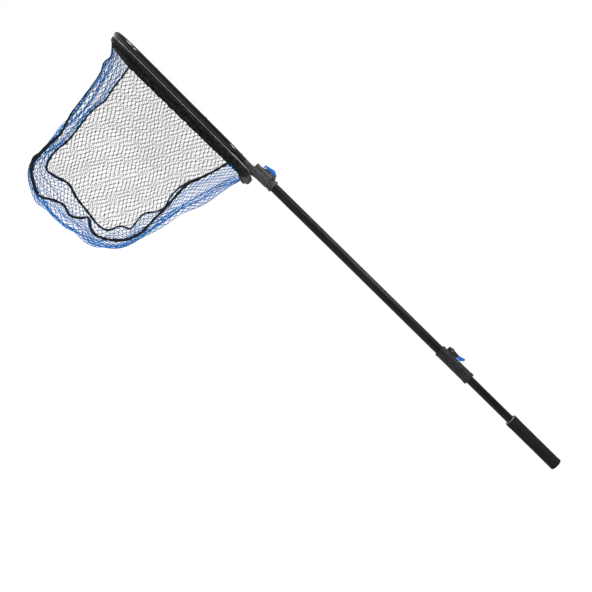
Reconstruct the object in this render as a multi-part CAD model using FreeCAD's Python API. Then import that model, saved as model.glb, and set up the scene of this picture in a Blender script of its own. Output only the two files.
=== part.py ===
"""Telescoping landing net with a head that slides along its handle.

Frame: millimetres.  The handle lies along X, with the butt at +X and the net at -X.
+Z is the side that carries the button and the lever, and the bag hangs towards -Z.
The origin is the middle of the hand grip, on the handle's axis.
"""
import FreeCAD, Part

import math
import os

from FreeCAD import Vector

os.makedirs("parts", exist_ok=True)

X_AXIS = Vector(1, 0, 0)
Y_AXIS = Vector(0, 1, 0)
Z_AXIS = Vector(0, 0, 1)
SIDES = (-1, 1)

# ---------------------------------------------------------------- driving dimensions

# grip, from its front end to the butt
GRIP_FRONT = -95.0
GRIP_REAR = 80.0
GRIP_RADIUS = 17.6
GRIP_NOSE_RADIUS = 18.4
GRIP_GROOVES = (12.0, 31.0, 47.0, 63.0)
GROOVE_DEPTH = 1.0
BUTT_END = 88.0
BUTT_RADIUS = 18.0

# the two octagonal tubes, measured across flats
MAIN_OUT = 26.2
MAIN_IN = 23.6
MAIN_CORNER = 4.0
INNER_OUT = 23.0
INNER_IN = 20.6
INNER_CORNER = 3.0
MAIN_FRONT = -1095.0
MAIN_REAR = -276.0
INNER_FRONT = -905.0
RUNNING_GAP = 0.08

# lever lock at the rear end of the main tube
HOUSING_FRONT = -370.0
HOUSING_REAR = -255.0
HOUSING_OUT = 35.0
BUSH_SEAT_END = -258.0
LEVER_PIVOT = Vector(-345.0, 0, 23.7)
SIDE_PIN = Vector(-312.5, 10.7, 12.7)
LEVER_WIDTH = 10.0
LEVER_SLOT = 11.2
CAM_RADIUS = 7.5
CAM_OFFSET = 1.0
SHOE_LENGTH = 14.0
SHOE_WIDTH = 7.0

# yoke
HUB_FRONT = -1097.0
HUB_BODY_REAR = -1038.0
HUB_REAR = -1020.0
HUB_HALF_WIDTH = 23.2
HUB_TOP = 16.6
HUB_BOTTOM = -17.0
NECK_OUT = 32.0
LIP_OUT = 35.0
YOKE_BORE = 29.0
YOKE_CORNER = 4.6
BUSH_LENGTH = 15.0
HEAD_TRAVEL = 480.0

# button on the yoke
BUTTON_PIVOT = Vector(-1050.0, 0, 19.6)
BUTTON_HALF_WIDTH = 12.4
BUTTON_UNDERSIDE = 24.2
SPRING_X = -1044.0
BAY_HALF_WIDTH = 13.0
BAY_WALL = 3.0
BAY_TOP = 23.0
LOCK_PIN_X = -1066.0
LOCK_PIN_RADIUS = 2.8
PIN_SWING = 1.2

# hoop: a bent tube whose ends slip over the spigots of the yoke's two wings
HOOP_RADIUS = 9.2
HOOP_WALL = 1.4
HOOP_Z = -9.8
WING_ROOT = Vector(-1090.7, 29.3, HOOP_Z)
WING_ANGLE = 40.0
WING_LENGTH = 58.0
SPIGOT_LENGTH = 32.0
REAR_BEND = (-1167.0, 120.0)
FRONT_CORNER = (-1596.0, 194.0)
HOOP_FRONT = -1608.0
REAR_BEND_RADIUS = 70.0
FRONT_CORNER_RADIUS = 78.0

# rim of the net: a rod in a fabric sleeve that hangs under the hoop
RIM_ROD_RADIUS = 4.5
SLEEVE_RADIUS = 7.8
RIM_Z = -27.4
RIM_DIP_START = (-1128.0, 113.0)
RIM_DIP_END = (-1096.0, 104.0)
RIM_DIP_Z = -33.0

# bag
PANEL_THICKNESS = 2.0
BAG_TOP = RIM_Z - SLEEVE_RADIUS - 0.5

nodes = {}


# ---------------------------------------------------------------- helpers

def box(x_low, x_high, y_low, y_high, z_low, z_high):
    """A box between two corners."""
    corner = Vector(x_low, y_low, z_low)
    return Part.makeBox(x_high - x_low, y_high - y_low, z_high - z_low, corner)


def rod_x(radius, x_low, x_high, y=0.0, z=0.0):
    return Part.makeCylinder(radius, x_high - x_low, Vector(x_low, y, z), X_AXIS)


def rod_y(radius, half_length, x, z):
    return Part.makeCylinder(radius, 2 * half_length, Vector(x, -half_length, z), Y_AXIS)


def rod_z(radius, z_low, z_high, x, y=0.0):
    return Part.makeCylinder(radius, z_high - z_low, Vector(x, y, z_low), Z_AXIS)


def octagon_bar(across_flats, corner_radius, x_low, x_high):
    """An eight-sided bar along X with a flat on top and rounded corners."""
    reach = across_flats / 2 / math.cos(math.pi / 8)
    corners = []
    for step in range(9):
        angle = math.pi / 8 + step * math.pi / 4
        corners.append(Vector(x_low, reach * math.cos(angle), reach * math.sin(angle)))
    bar = Part.Face(Part.makePolygon(corners)).extrude(Vector(x_high - x_low, 0, 0))
    long_edges = [edge for edge in bar.Edges if abs(edge.tangentAt(0).x) > 0.9]
    return bar.makeFillet(corner_radius, long_edges)


def octagon_tube(outer, inner, corner_radius, x_low, x_high):
    bore = octagon_bar(inner, corner_radius - 1.0, x_low - 1, x_high + 1)
    return octagon_bar(outer, corner_radius, x_low, x_high).cut(bore)


def side_profile(points, half_width):
    """A solid whose outline is seen from the side, centred on the handle's plane."""
    outline = [Vector(x, -half_width, z) for x, z in points]
    face = Part.Face(Part.makePolygon(outline + outline[:1]))
    return face.extrude(Vector(0, 2 * half_width, 0))


def edges_along(shape, axis, length_over=0.0):
    """Straight edges that run along an axis."""
    found = []
    for edge in shape.Edges:
        if edge.Curve.TypeId == "Part::GeomLine" and edge.Length > length_over:
            if abs(edge.tangentAt(edge.FirstParameter).dot(axis)) > 0.999:
                found.append(edge)
    return found


def rounded_path(corners, radii, closed=False):
    """Straight runs joined by tangent arcs, one radius for each corner that turns."""
    count = len(corners)
    turning = range(count) if closed else range(1, count - 1)
    joints = {}
    for index in turning:
        here = corners[index]
        back = (corners[index - 1] - here).normalize()
        ahead = (corners[(index + 1) % count] - here).normalize()
        half = back.getAngle(ahead) / 2
        reach = radii[index] / math.tan(half)
        middle = (back + ahead).normalize()
        centre = here + middle * (radii[index] / math.sin(half))
        bulge = centre - middle * radii[index]
        joints[index] = (here + back * reach, bulge, here + ahead * reach)
    edges = []
    last = count if closed else count - 1
    for index in range(last):
        following = (index + 1) % count
        start = joints[index][2] if index in joints else corners[index]
        end = joints[following][0] if following in joints else corners[following]
        edges.append(Part.LineSegment(start, end).toShape())
        if following in joints:
            edges.append(Part.Arc(*joints[following]).toShape())
    return Part.Wire(edges)


def sweep(path, radius):
    """A round bar along a path."""
    start = path.Edges[0].valueAt(path.Edges[0].FirstParameter)
    heading = path.Edges[0].tangentAt(path.Edges[0].FirstParameter)
    ring = Part.Wire(Part.makeCircle(radius, start, heading))
    return path.makePipeShell([ring], True, False)


def spring_z(radius, wire, z_low, z_high, turns, x):
    """A closed-form coil spring standing along Z."""
    pitch = (z_high - z_low - 2 * wire) / turns
    helix = Part.makeHelix(pitch, pitch * turns, radius)
    ring = Part.Wire(Part.makeCircle(wire, Vector(radius, 0, 0), Y_AXIS))
    coil = Part.Wire(helix.Edges).makePipeShell([ring], True, True)
    coil.translate(Vector(x, 0, z_low + wire))
    return coil


# ---------------------------------------------------------------- handle: grip and inner tube

def make_grip():
    body = rod_x(GRIP_RADIUS, GRIP_FRONT + 30, GRIP_REAR)
    nose = Part.makeCone(GRIP_NOSE_RADIUS, GRIP_RADIUS, 26, Vector(GRIP_FRONT + 4, 0, 0), X_AXIS)
    nose = nose.fuse(rod_x(GRIP_NOSE_RADIUS - 1.2, GRIP_FRONT + 3, GRIP_FRONT + 4))
    sleeve = body.fuse(nose).removeSplitter()
    for x in GRIP_GROOVES:
        groove = Part.makeTorus(GRIP_RADIUS + 0.4, GROOVE_DEPTH + 0.4, Vector(x, 0, 0), X_AXIS)
        sleeve = sleeve.cut(groove)
    nodes["grip_sleeve"] = sleeve.cut(octagon_bar(INNER_OUT, INNER_CORNER, GRIP_FRONT - 1, GRIP_REAR + 1))

    collar = rod_x(GRIP_NOSE_RADIUS - 1.2, GRIP_FRONT, GRIP_FRONT + 3)
    front_rim = [edge for edge in collar.Edges if edge.BoundBox.XMax < GRIP_FRONT + 0.1]
    collar = collar.makeFillet(2.2, front_rim)
    nodes["grip_collar"] = collar.cut(octagon_bar(INNER_OUT, INNER_CORNER, GRIP_FRONT - 1, GRIP_FRONT + 4))

    cap = rod_x(BUTT_RADIUS, GRIP_REAR, BUTT_END)
    rear_rim = [edge for edge in cap.Edges if edge.BoundBox.XMin > BUTT_END - 0.1]
    cap = cap.makeFillet(5.0, rear_rim)
    rim_groove = Part.makeTorus(BUTT_RADIUS + 0.3, 0.9, Vector(GRIP_REAR + 1.6, 0, 0), X_AXIS)
    plug = octagon_bar(INNER_IN - 0.1, 2.0, GRIP_REAR - 22, GRIP_REAR)
    nodes["butt_cap"] = cap.cut(rim_groove).fuse(plug)


def make_inner_tube():
    nodes["inner_tube"] = octagon_tube(INNER_OUT, INNER_IN, INNER_CORNER, INNER_FRONT + 12, GRIP_REAR)
    glide_out = MAIN_IN - 2 * RUNNING_GAP
    flange = octagon_bar(glide_out, MAIN_CORNER - 1.0, INNER_FRONT, INNER_FRONT + 12)
    stem = octagon_bar(INNER_IN - 0.1, 2.0, INNER_FRONT + 12, INNER_FRONT + 42)
    hollow = rod_x(7.5, INNER_FRONT - 1, INNER_FRONT + 43)
    pin_x = INNER_FRONT + 28
    pin = rod_y(2.0, INNER_OUT / 2 - 0.3, pin_x, 0)
    nodes["inner_tube_glide"] = flange.fuse(stem).cut(hollow).cut(pin)
    nodes["inner_tube"] = nodes["inner_tube"].cut(pin)
    nodes["glide_pin"] = pin


# ---------------------------------------------------------------- main tube and its lever lock

def make_main_tube():
    tube = octagon_tube(MAIN_OUT, MAIN_IN, MAIN_CORNER, MAIN_FRONT, MAIN_REAR)
    for x in (LOCK_PIN_X, LOCK_PIN_X + HEAD_TRAVEL):
        tube = tube.cut(rod_z(LOCK_PIN_RADIUS + 0.3, 5, 20, x))
    half_length = SHOE_LENGTH / 2 + 0.4
    half_width = SHOE_WIDTH / 2 + 0.4
    window = box(LEVER_PIVOT.x - half_length, LEVER_PIVOT.x + half_length, -half_width, half_width, 5, 20)
    nodes["main_tube"] = tube.cut(window)

    disc = octagon_bar(YOKE_BORE - 0.6, YOKE_CORNER, MAIN_FRONT - 3, MAIN_FRONT)
    stem = octagon_bar(MAIN_IN - 0.1, MAIN_CORNER - 1.0, MAIN_FRONT, MAIN_FRONT + 14)
    nodes["front_end_cap"] = disc.fuse(stem)


def make_housing():
    body = octagon_bar(HOUSING_OUT, 7.0, HOUSING_FRONT, HOUSING_REAR)
    waist = octagon_bar(HOUSING_OUT + 5, 7.0, HOUSING_FRONT + 6, HOUSING_REAR - 8)
    waist = waist.cut(octagon_bar(HOUSING_OUT - 1.6, 6.5, HOUSING_FRONT + 5, HOUSING_REAR - 7))
    body = body.cut(waist)

    pivot = LEVER_PIVOT
    cheek_points = [
        (pivot.x - 12, 12), (pivot.x - 12, 26.4), (pivot.x - 10, 28.4),
        (pivot.x + 19, 27.2), (pivot.x + 20, 26), (pivot.x + 20, 12),
    ]
    cheeks = side_profile(cheek_points, LEVER_SLOT / 2 + 3.2)
    slot = box(pivot.x - 15, pivot.x + 70, -LEVER_SLOT / 2, LEVER_SLOT / 2, HOUSING_OUT / 2 - 0.6, 40)
    well = box(pivot.x - 10.5, pivot.x + 10.5, -LEVER_SLOT / 2, LEVER_SLOT / 2, 10, 40)
    body = body.fuse(cheeks).cut(slot).cut(well)

    bore = octagon_bar(MAIN_OUT + 0.06, MAIN_CORNER, HOUSING_FRONT - 1, BUSH_SEAT_END)
    exit_hole = octagon_bar(INNER_OUT + 0.8, 3.4, BUSH_SEAT_END - 1, HOUSING_REAR + 1)
    body = body.cut(bore).cut(exit_hole)
    body = body.cut(rod_y(2.0, 20, pivot.x, pivot.z))
    nodes["lever_pivot_pin"] = rod_y(2.0, LEVER_SLOT / 2 + 3.6, pivot.x, pivot.z)

    side_pins = []
    for side in SIDES:
        pin = rod_y(1.3, 2.0, SIDE_PIN.x, SIDE_PIN.z)
        pin.translate(Vector(0, side * SIDE_PIN.y, 0))
        side_pins.append(pin)
        body = body.cut(pin)
    nodes["housing_side_pins"] = Part.makeCompound(side_pins)

    fixings = []
    for x in (HOUSING_FRONT + 16, MAIN_REAR - 10):
        shank = rod_z(1.6, -HOUSING_OUT / 2 + 0.4, -MAIN_IN / 2 - 0.1, x)
        head = rod_z(3.0, -HOUSING_OUT / 2 + 0.4, -HOUSING_OUT / 2 + 2.4, x)
        screw = head.fuse(shank)
        body = body.cut(screw)
        nodes["main_tube"] = nodes["main_tube"].cut(screw)
        fixings.append(screw.cut(box(x - 2, x + 2, -0.4, 0.4, -HOUSING_OUT / 2, -HOUSING_OUT / 2 + 1.2)))
    nodes["housing_screws"] = Part.makeCompound(fixings)
    nodes["lock_housing"] = body


def make_rear_bush():
    """The bush behind the main tube's rear end, held in the housing, which guides the inner tube."""
    outer = octagon_bar(MAIN_OUT, MAIN_CORNER, MAIN_REAR, BUSH_SEAT_END)
    bore = octagon_bar(INNER_OUT + 2 * RUNNING_GAP, INNER_CORNER, MAIN_REAR - 1, BUSH_SEAT_END + 1)
    nodes["rear_bush"] = outer.cut(bore)


def make_lever():
    pivot = LEVER_PIVOT
    half = LEVER_WIDTH / 2
    cam = Part.makeCylinder(CAM_RADIUS, 2 * half, Vector(pivot.x, -half, pivot.z - CAM_OFFSET), Y_AXIS)
    arm = side_profile([(pivot.x, 19.0), (pivot.x, 28.0), (pivot.x + 22, 26.4), (pivot.x + 22, 18.6)], half)
    lever = cam.fuse(arm)
    tongue_points = [(pivot.x + 22, 20.6), (pivot.x + 22, 24.6), (pivot.x + 36, 27.0), (pivot.x + 36, 23.6)]
    tongue = side_profile(tongue_points, half - 2.5)
    lever = lever.fuse(tongue).removeSplitter()
    nodes["lock_lever"] = lever.cut(rod_y(2.06, 20, pivot.x, pivot.z))

    tip_points = [
        (pivot.x + 22, 17.9), (pivot.x + 22, 27.2), (pivot.x + 30, 28.4), (pivot.x + 41.5, 31.8),
        (pivot.x + 43.8, 30.8), (pivot.x + 43.4, 25.0), (pivot.x + 35, 17.9),
    ]
    tip = side_profile(tip_points, 7.0)
    tip = tip.makeFillet(1.0, edges_along(tip, Y_AXIS)[2:6])
    nodes["lever_tip"] = tip.cut(tongue)


def make_clamp_shoe():
    x_low = LEVER_PIVOT.x - SHOE_LENGTH / 2
    x_high = LEVER_PIVOT.x + SHOE_LENGTH / 2
    half = SHOE_WIDTH / 2
    cam_bottom = LEVER_PIVOT.z - CAM_OFFSET - CAM_RADIUS
    pad_bottom = INNER_OUT / 2 + 0.1
    pad_top = pad_bottom + 1.4
    nodes["shoe_pad"] = box(x_low, x_high, -half, half, pad_bottom, pad_top)
    nodes["clamp_shoe"] = box(x_low, x_high, -half, half, pad_top, cam_bottom - 0.1)


# ---------------------------------------------------------------- yoke

def wing_point(distance, side):
    """A point on a wing's centre line, measured out from its root."""
    turn = math.radians(WING_ANGLE)
    x = WING_ROOT.x - distance * math.sin(turn)
    y = WING_ROOT.y + distance * math.cos(turn)
    return Vector(x, side * y, WING_ROOT.z)


def wing_heading(side):
    turn = math.radians(WING_ANGLE)
    return Vector(-math.sin(turn), side * math.cos(turn), 0)


def wing_section(y, x_front, x_rear, z_low, z_high, side):
    """One upright section of a wing, a rectangle with cut corners."""
    cut = 3.0
    corners = [
        (x_front + cut, z_low), (x_rear - cut, z_low), (x_rear, z_low + cut), (x_rear, z_high - cut),
        (x_rear - cut, z_high), (x_front + cut, z_high), (x_front, z_high - cut), (x_front, z_low + cut),
    ]
    points = [Vector(x, side * y, z) for x, z in corners]
    return Part.makePolygon(points + points[:1])


def make_wing(side):
    sections = [
        wing_section(18.0, HUB_FRONT + 1, HUB_BODY_REAR - 2, -14.5, 3.6, side),
        wing_section(25.0, HUB_FRONT + 0.6, HUB_BODY_REAR - 10, -14.8, 3.0, side),
        wing_section(34.0, -1105.6, -1068.0, -16.0, 1.4, side),
        wing_section(46.0, -1115.6, -1086.0, -17.5, 0.2, side),
        wing_section(62.0, -1129.6, -1105.4, -19.0, -0.6, side),
    ]
    wing = Part.makeLoft(sections, True, False)
    end = wing_point(WING_LENGTH, side)
    start = wing_point(WING_LENGTH - 20, side)
    collar = Part.makeCylinder(HOOP_RADIUS + 0.6, 20, start, wing_heading(side))
    spigot_radius = HOOP_RADIUS - HOOP_WALL - 0.05
    spigot = Part.makeCylinder(spigot_radius, SPIGOT_LENGTH, end, wing_heading(side))
    return wing.fuse(collar).fuse(spigot)


def wing_recess(side):
    """The sunk panel on a wing's upper face, with the ribs that stand in it left out of the cut."""
    middle = wing_point(14.0, side)
    panel = box(-18, 18, -4.6, 4.6, -4.0, 20)
    ribs = [box(x - 0.9, x + 0.9, -4.0, 4.0, -4.0, -1.2) for x in (-11, -6, -1, 4, 9)]
    panel = panel.cut(Part.makeCompound(ribs))
    panel.rotate(Vector(0, 0, 0), Z_AXIS, side * (90 + WING_ANGLE))
    panel.translate(Vector(middle.x + 2.0, middle.y + side * 2.0, 4.2))
    return panel


def make_yoke():
    hub = box(HUB_FRONT, HUB_BODY_REAR, -HUB_HALF_WIDTH, HUB_HALF_WIDTH, HUB_BOTTOM, HUB_TOP)
    hub = hub.makeFillet(7.0, edges_along(hub, X_AXIS))
    rear_posts = [edge for edge in edges_along(hub, Z_AXIS) if edge.BoundBox.XMin > HUB_BODY_REAR - 1]
    hub = hub.makeFillet(3.0, rear_posts)
    neck = octagon_bar(NECK_OUT, 4.5, HUB_BODY_REAR - 4, HUB_REAR)
    rear_lip = octagon_bar(LIP_OUT, 5.0, HUB_REAR - 5, HUB_REAR - 1)
    front_lip = octagon_bar(LIP_OUT, 5.0, HUB_FRONT, HUB_FRONT + 4)
    yoke = hub.fuse([neck, rear_lip, front_lip])

    bay_points = [
        (-1080.0, HUB_TOP - 2), (-1068.0, BAY_TOP), (-1036.0, BAY_TOP), (-1033.0, BAY_TOP - 3),
        (-1033.0, HUB_TOP - 4),
    ]
    yoke = yoke.fuse(side_profile(bay_points, BAY_HALF_WIDTH + BAY_WALL))
    for side in SIDES:
        yoke = yoke.fuse(make_wing(side))
    for side in SIDES:
        yoke = yoke.cut(wing_recess(side))

    bay = box(-1084.0, -1035.0, -BAY_HALF_WIDTH, BAY_HALF_WIDTH, HUB_TOP, 40)
    bore = octagon_bar(YOKE_BORE, YOKE_CORNER, HUB_FRONT - 1, HUB_REAR + 1)
    pin_hole = rod_z(LOCK_PIN_RADIUS + PIN_SWING, 5, 40, LOCK_PIN_X)
    pivot_hole = rod_y(1.5, 40, BUTTON_PIVOT.x, BUTTON_PIVOT.z)
    yoke = yoke.cut(bay).cut(bore).cut(pin_hole).cut(pivot_hole)

    screws = []
    for side in SIDES:
        place = wing_point(WING_LENGTH + 18, side)
        shank = rod_z(1.7, HOOP_Z, HOOP_Z + HOOP_RADIUS, place.x, place.y)
        head = rod_z(3.2, HOOP_Z + HOOP_RADIUS - 0.5, HOOP_Z + HOOP_RADIUS + 1.2, place.x, place.y)
        screws.append(shank.fuse(head))
        yoke = yoke.cut(shank)
    nodes["yoke"] = yoke
    nodes["hoop_screws"] = Part.makeCompound(screws)
    nodes["button_pivot_pin"] = rod_y(1.5, BAY_HALF_WIDTH + BAY_WALL - 0.4, BUTTON_PIVOT.x, BUTTON_PIVOT.z)


def make_yoke_bushes():
    starts = {"yoke_front_bush": HUB_FRONT + 4, "yoke_rear_bush": HUB_REAR - 2 - BUSH_LENGTH}
    for name, start in starts.items():
        outer = octagon_bar(YOKE_BORE - 0.04, YOKE_CORNER, start, start + BUSH_LENGTH)
        bore = octagon_bar(MAIN_OUT + 2 * RUNNING_GAP, MAIN_CORNER, start - 1, start + BUSH_LENGTH + 1)
        nodes[name] = outer.cut(bore)


def make_button():
    outline = [
        (-1078.6, 17.6), (-1078.6, 27.6), (-1074.0, 28.8), (-1052.0, 33.6), (-1048.0, 33.6),
        (-1037.5, 28.4), (-1036.0, 26.6), (-1036.0, 20.4), (-1039.5, 19.6), (-1039.5, BUTTON_UNDERSIDE),
        (-1077.4, BUTTON_UNDERSIDE), (-1077.4, 17.6),
    ]
    cap = side_profile(outline, BUTTON_HALF_WIDTH)
    lugs = []
    for y in (-6.0, 6.0):
        lug = box(-3.5, 3.5, y - 2.0, y + 2.0, HUB_TOP + 0.9, BUTTON_UNDERSIDE)
        lug.translate(Vector(BUTTON_PIVOT.x, 0, 0))
        lugs.append(lug)
    slope = (33.6 - 28.8) / 22.0
    ribs = [rod_y(0.6, 7.0, -1070.0 + step * 3.2, 29.8 + step * 3.2 * slope) for step in range(6)]
    button = cap.fuse(lugs).fuse(ribs)
    button = button.cut(rod_y(1.56, 20, BUTTON_PIVOT.x, BUTTON_PIVOT.z))
    nodes["yoke_button"] = button


def make_lock_pin():
    tip_bottom = MAIN_OUT / 2 + 0.3
    nodes["lock_pin"] = rod_z(LOCK_PIN_RADIUS, tip_bottom, BUTTON_UNDERSIDE, LOCK_PIN_X)
    nodes["button_spring"] = spring_z(2.6, 0.5, HUB_TOP + 0.1, BUTTON_UNDERSIDE - 0.1, 4, SPRING_X)


# ---------------------------------------------------------------- hoop and rim

def hoop_corner(point, side, z):
    return Vector(point[0], side * point[1], z)


def make_hoop():
    starts = [wing_point(WING_LENGTH + 0.2, side) for side in SIDES]
    corners = [
        starts[0],
        hoop_corner(REAR_BEND, -1, HOOP_Z),
        hoop_corner(FRONT_CORNER, -1, HOOP_Z),
        Vector(HOOP_FRONT, 0, HOOP_Z),
        hoop_corner(FRONT_CORNER, 1, HOOP_Z),
        hoop_corner(REAR_BEND, 1, HOOP_Z),
        starts[1],
    ]
    radii = [0, REAR_BEND_RADIUS, FRONT_CORNER_RADIUS, 700.0, FRONT_CORNER_RADIUS, REAR_BEND_RADIUS, 0]
    path = rounded_path(corners, radii)
    outer = sweep(path, HOOP_RADIUS)
    bore = sweep(path, HOOP_RADIUS - HOOP_WALL)
    tube = outer.cut(bore)
    for side in SIDES:
        place = wing_point(WING_LENGTH + 18, side)
        tube = tube.cut(rod_z(3.2, HOOP_Z + HOOP_RADIUS - 0.5, HOOP_Z + 20, place.x, place.y))
        tube = tube.cut(rod_z(1.7, HOOP_Z, HOOP_Z + 20, place.x, place.y))
    nodes["hoop_tube"] = tube


def rim_path():
    arms = []
    for side in SIDES:
        arms.append([
            hoop_corner(RIM_DIP_END, side, RIM_DIP_Z),
            hoop_corner(RIM_DIP_START, side, RIM_Z),
            hoop_corner(FRONT_CORNER, side, RIM_Z),
        ])
    corners = arms[0] + [Vector(HOOP_FRONT, 0, RIM_Z)] + arms[1][::-1]
    radii = [26.0, 60.0, FRONT_CORNER_RADIUS, 700.0, FRONT_CORNER_RADIUS, 60.0, 26.0]
    return rounded_path(corners, radii, closed=True)


def make_rim():
    path = rim_path()
    rod = sweep(path, RIM_ROD_RADIUS)
    sleeve = sweep(path, SLEEVE_RADIUS).cut(sweep(path, RIM_ROD_RADIUS + 0.05))
    screws = []
    for x, y in rim_screw_places():
        shank = rod_z(1.5, RIM_Z, HOOP_Z + HOOP_RADIUS, x, y)
        head = rod_z(3.0, HOOP_Z + HOOP_RADIUS - 0.4, HOOP_Z + HOOP_RADIUS + 1.0, x, y)
        screw = shank.fuse(head)
        screws.append(screw)
        rod = rod.cut(screw)
        sleeve = sleeve.cut(screw)
        nodes["hoop_tube"] = nodes["hoop_tube"].cut(screw)
    nodes["rim_rod"] = rod
    nodes["net_sleeve"] = sleeve
    nodes["rim_screws"] = Part.makeCompound(screws)


def rim_screw_places():
    """Where the rim is screwed to the hoop: twice along each arm and twice across the front."""
    rise = (FRONT_CORNER[1] - REAR_BEND[1]) / (FRONT_CORNER[0] - REAR_BEND[0])
    places = []
    for side in SIDES:
        for x in (-1270.0, -1450.0):
            places.append((x, side * (REAR_BEND[1] + rise * (x - REAR_BEND[0]))))
        front_y = 70.0
        slope = (FRONT_CORNER[0] - HOOP_FRONT) / FRONT_CORNER[1]
        places.append((HOOP_FRONT + slope * front_y, side * front_y))
    return places


# ---------------------------------------------------------------- bag

BAG_PROFILE = (
    (-1594.0, BAG_TOP), (-1566.0, -190.0), (-1550.0, -330.0), (-1526.0, -440.0), (-1420.0, -482.0),
    (-1300.0, -474.0), (-1216.0, -410.0), (-1172.0, -250.0), (-1128.0, -140.0),
    (-1104.0, RIM_DIP_Z - SLEEVE_RADIUS - 1.0),
)


def bag_band():
    """The side view of the strip that closes the bag's front, bottom and rear, and its outer curve."""
    outer = [Vector(x, 0, z) for x, z in BAG_PROFILE]
    curve = Part.BSplineCurve()
    curve.interpolate(outer)
    inner = []
    for point in outer:
        parameter = curve.parameter(point)
        heading = curve.tangent(parameter)[0]
        inward = Vector(-heading.z, 0, heading.x)
        inner.append(point + inward * PANEL_THICKNESS)
    back = Part.BSplineCurve()
    back.interpolate(inner)
    edges = [
        curve.toShape(),
        Part.makeLine(outer[-1], inner[-1]),
        back.toShape(),
        Part.makeLine(inner[0], outer[0]),
    ]
    return Part.Face(Part.Wire(Part.__sortEdges__(edges))), curve


def arm_width(x):
    """Half the bag's width where the arms of the rim stand over it."""
    rise = (FRONT_CORNER[1] - RIM_DIP_START[1]) / (FRONT_CORNER[0] - RIM_DIP_START[0])
    return RIM_DIP_START[1] + rise * (x - RIM_DIP_START[0])


def plan_wedge(margin, z_low, z_high):
    """The space between the two arms, seen from above, with its front corners cut off."""
    rear_x = -1000.0
    widest_x = -1535.0
    widest = arm_width(widest_x) - margin
    half_outline = [
        (rear_x, arm_width(rear_x) - margin),
        (widest_x, widest),
        (widest_x - 75.0, widest - 50.0),
    ]
    corners = [Vector(x, y, z_low) for x, y in half_outline]
    corners += [Vector(x, -y, z_low) for x, y in half_outline[::-1]]
    face = Part.Face(Part.makePolygon(corners + corners[:1]))
    return face.extrude(Vector(0, 0, z_high - z_low))


def make_bag():
    band, curve = bag_band()
    strip = band.extrude(Vector(0, 600, 0))
    strip.translate(Vector(0, -300, 0))
    nodes["net_gusset"] = strip.common(plan_wedge(PANEL_THICKNESS + 0.2, -600, 0))

    top_front = Vector(BAG_PROFILE[0][0], 0, BAG_TOP)
    dip_rear = Vector(RIM_DIP_START[0], 0, BAG_TOP)
    end = curve.value(curve.LastParameter)
    outline = [curve.toShape(), Part.makeLine(end, dip_rear), Part.makeLine(dip_rear, top_front)]
    panel = Part.Face(Part.Wire(Part.__sortEdges__(outline))).extrude(Vector(0, 600, 0))
    panel.translate(Vector(0, -300, 0))
    skin = plan_wedge(0, -600, 0).cut(plan_wedge(PANEL_THICKNESS, -601, 1))
    near_half = box(-1700, -1000, -400, 0, -700, 100)
    far_half = box(-1700, -1000, 0, 400, -700, 100)
    walls = panel.common(skin)
    nodes["net_side_near"] = walls.common(near_half)
    nodes["net_side_far"] = walls.common(far_half)


# ---------------------------------------------------------------- build and write

make_grip()
make_inner_tube()
make_main_tube()
make_housing()
make_rear_bush()
make_lever()
make_clamp_shoe()
make_yoke()
make_yoke_bushes()
make_button()
make_lock_pin()
make_hoop()
make_rim()
make_bag()

for name, shape in nodes.items():
    solids = shape.Solids
    if not solids or not shape.isValid():
        print("CHECK", name, "solids", len(solids), "valid", shape.isValid())
    shape.exportStep(os.path.join("parts", name + ".step"))
    print(name, len(solids), round(sum(solid.Volume for solid in solids)))
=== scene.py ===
"""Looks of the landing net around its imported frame.

Everything is in metres, in the frame of the model: the handle lies along X with the butt at +X,
+Z is the side with the button and the lever, and the bag hangs towards -Z.
"""

import math

import bpy
import numpy as np
from mathutils import Euler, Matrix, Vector, noise


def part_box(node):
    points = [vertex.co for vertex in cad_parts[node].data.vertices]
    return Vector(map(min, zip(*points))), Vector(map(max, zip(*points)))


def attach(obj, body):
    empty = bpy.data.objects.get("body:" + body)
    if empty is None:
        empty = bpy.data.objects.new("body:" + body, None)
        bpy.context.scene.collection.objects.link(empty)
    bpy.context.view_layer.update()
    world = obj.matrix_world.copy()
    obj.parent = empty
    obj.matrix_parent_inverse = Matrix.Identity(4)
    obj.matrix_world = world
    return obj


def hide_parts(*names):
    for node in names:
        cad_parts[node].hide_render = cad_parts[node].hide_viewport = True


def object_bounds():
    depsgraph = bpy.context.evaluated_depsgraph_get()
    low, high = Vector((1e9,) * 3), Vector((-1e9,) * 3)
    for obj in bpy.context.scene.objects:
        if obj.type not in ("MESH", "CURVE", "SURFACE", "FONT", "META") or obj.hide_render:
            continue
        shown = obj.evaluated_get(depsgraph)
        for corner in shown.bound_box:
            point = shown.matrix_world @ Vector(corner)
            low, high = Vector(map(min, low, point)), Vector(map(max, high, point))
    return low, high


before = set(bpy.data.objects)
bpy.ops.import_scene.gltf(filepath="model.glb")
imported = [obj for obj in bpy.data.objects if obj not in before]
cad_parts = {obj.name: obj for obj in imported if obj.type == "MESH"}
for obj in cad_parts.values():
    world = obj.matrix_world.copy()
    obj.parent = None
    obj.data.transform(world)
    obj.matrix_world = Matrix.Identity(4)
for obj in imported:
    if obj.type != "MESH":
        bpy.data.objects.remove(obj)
cad_low, cad_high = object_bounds()

# ---------------------------------------------------------------- driving places

sleeve_low, sleeve_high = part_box("net_sleeve")
SLEEVE_RADIUS = 0.0078
RIM_Z = sleeve_high.z - SLEEVE_RADIUS
RIM_DIP_Z = sleeve_low.z + SLEEVE_RADIUS
RIM_DIP_END = (-1.096, 0.104)
RIM_DIP_START = (-1.128, 0.113)
FRONT_CORNER = (-1.596, 0.194)
RIM_FRONT = -1.608
DIP_END_RADIUS = 0.026
DIP_START_RADIUS = 0.060
CORNER_RADIUS = 0.078
FRONT_RADIUS = 0.700
RIM_SPACING = 0.003

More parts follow.
